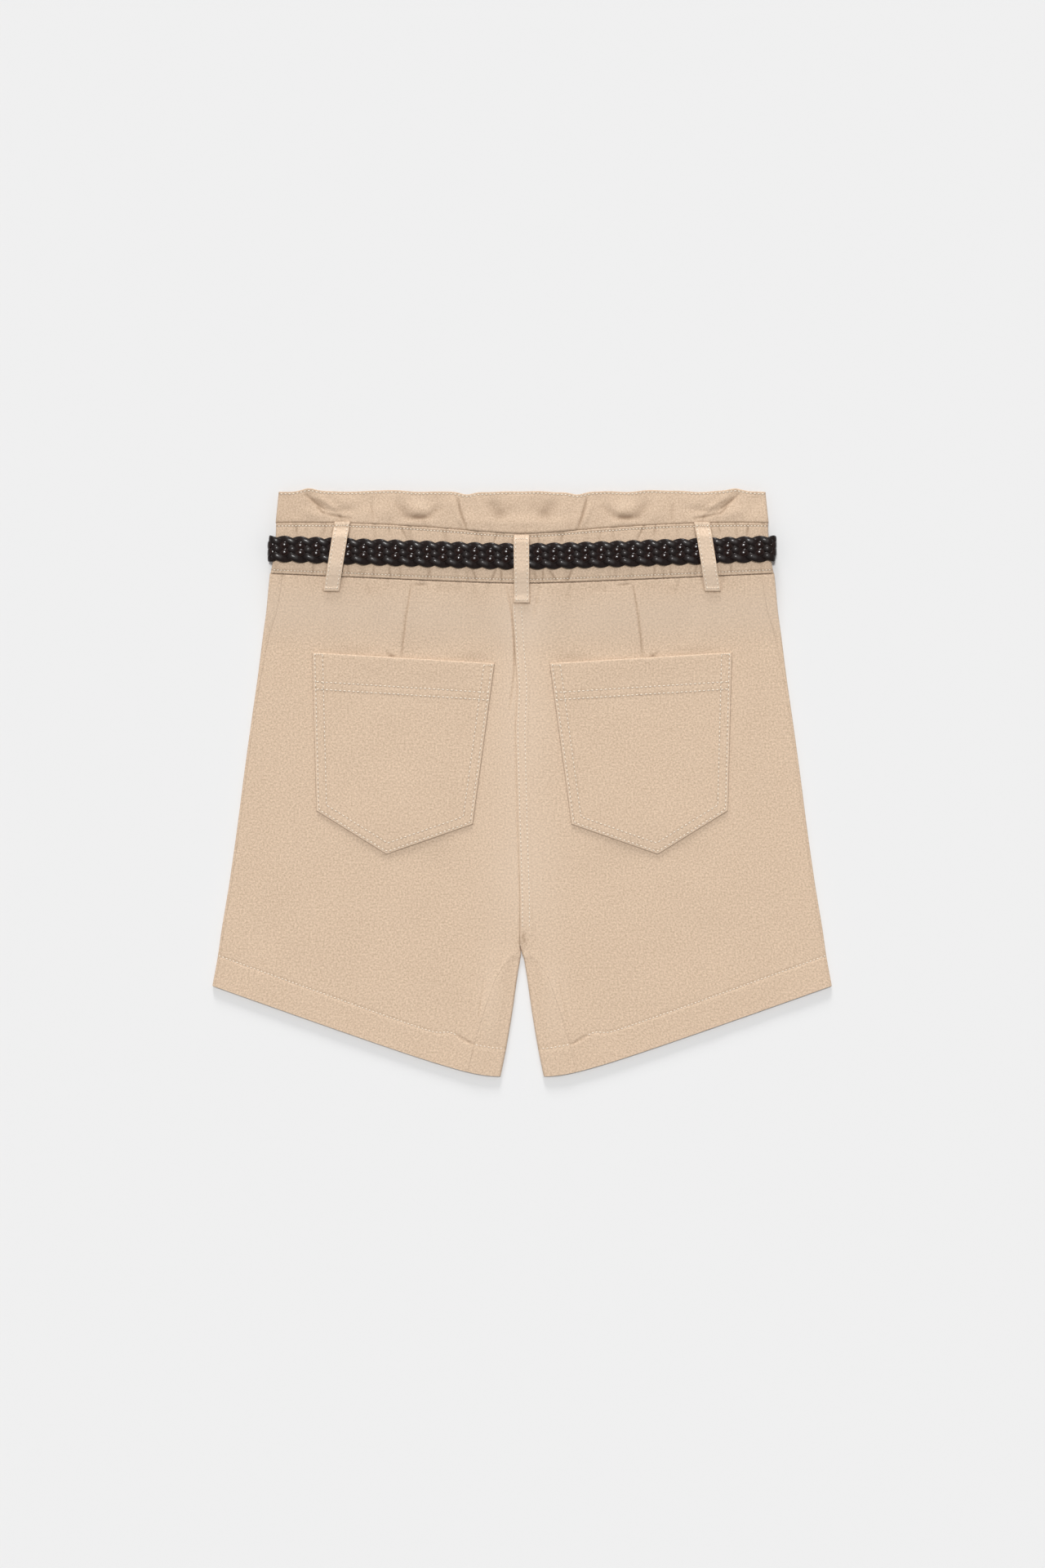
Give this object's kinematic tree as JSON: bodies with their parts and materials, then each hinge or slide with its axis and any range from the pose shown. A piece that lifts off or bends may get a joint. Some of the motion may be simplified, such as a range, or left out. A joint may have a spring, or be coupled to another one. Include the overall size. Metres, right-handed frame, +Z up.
{
  "type": "chino shorts",
  "caption": "Cotton chino shorts with a frilled elastic waist, patch pockets and a braided leather belt in its loops, laid flat with the back up",
  "frame": {"origin": "centre of the bottom of the bounding box, on the surface that the shorts lie on", "axes": "+X across the shorts towards the image right, +Y from the hems to the waist, +Z up through the back of the shorts"},
  "size_m": [0.4706, 0.4463, 0.0144],
  "materials": {
    "twill": "beige cotton twill with a slight satin face",
    "leather": "very dark brown polished leather cord"
  },
  "bodies": {
    "root": {"back_left": "twill", "back_right": "twill", "front_left": "twill", "front_right": "twill", "waistband_back": "twill", "waistband_front": "twill", "ruffle_back": "twill", "ruffle_front": "twill", "pocket_left": "twill", "pocket_right": "twill", "loop_back_left": "twill", "loop_back_centre": "twill", "loop_back_right": "twill", "loop_front_left": "twill", "loop_front_right": "twill", "belt_braid": "leather", "belt_tab_left": "leather", "belt_tab_right": "leather", "belt_keeper": "leather"}
  },
  "joints": []
}
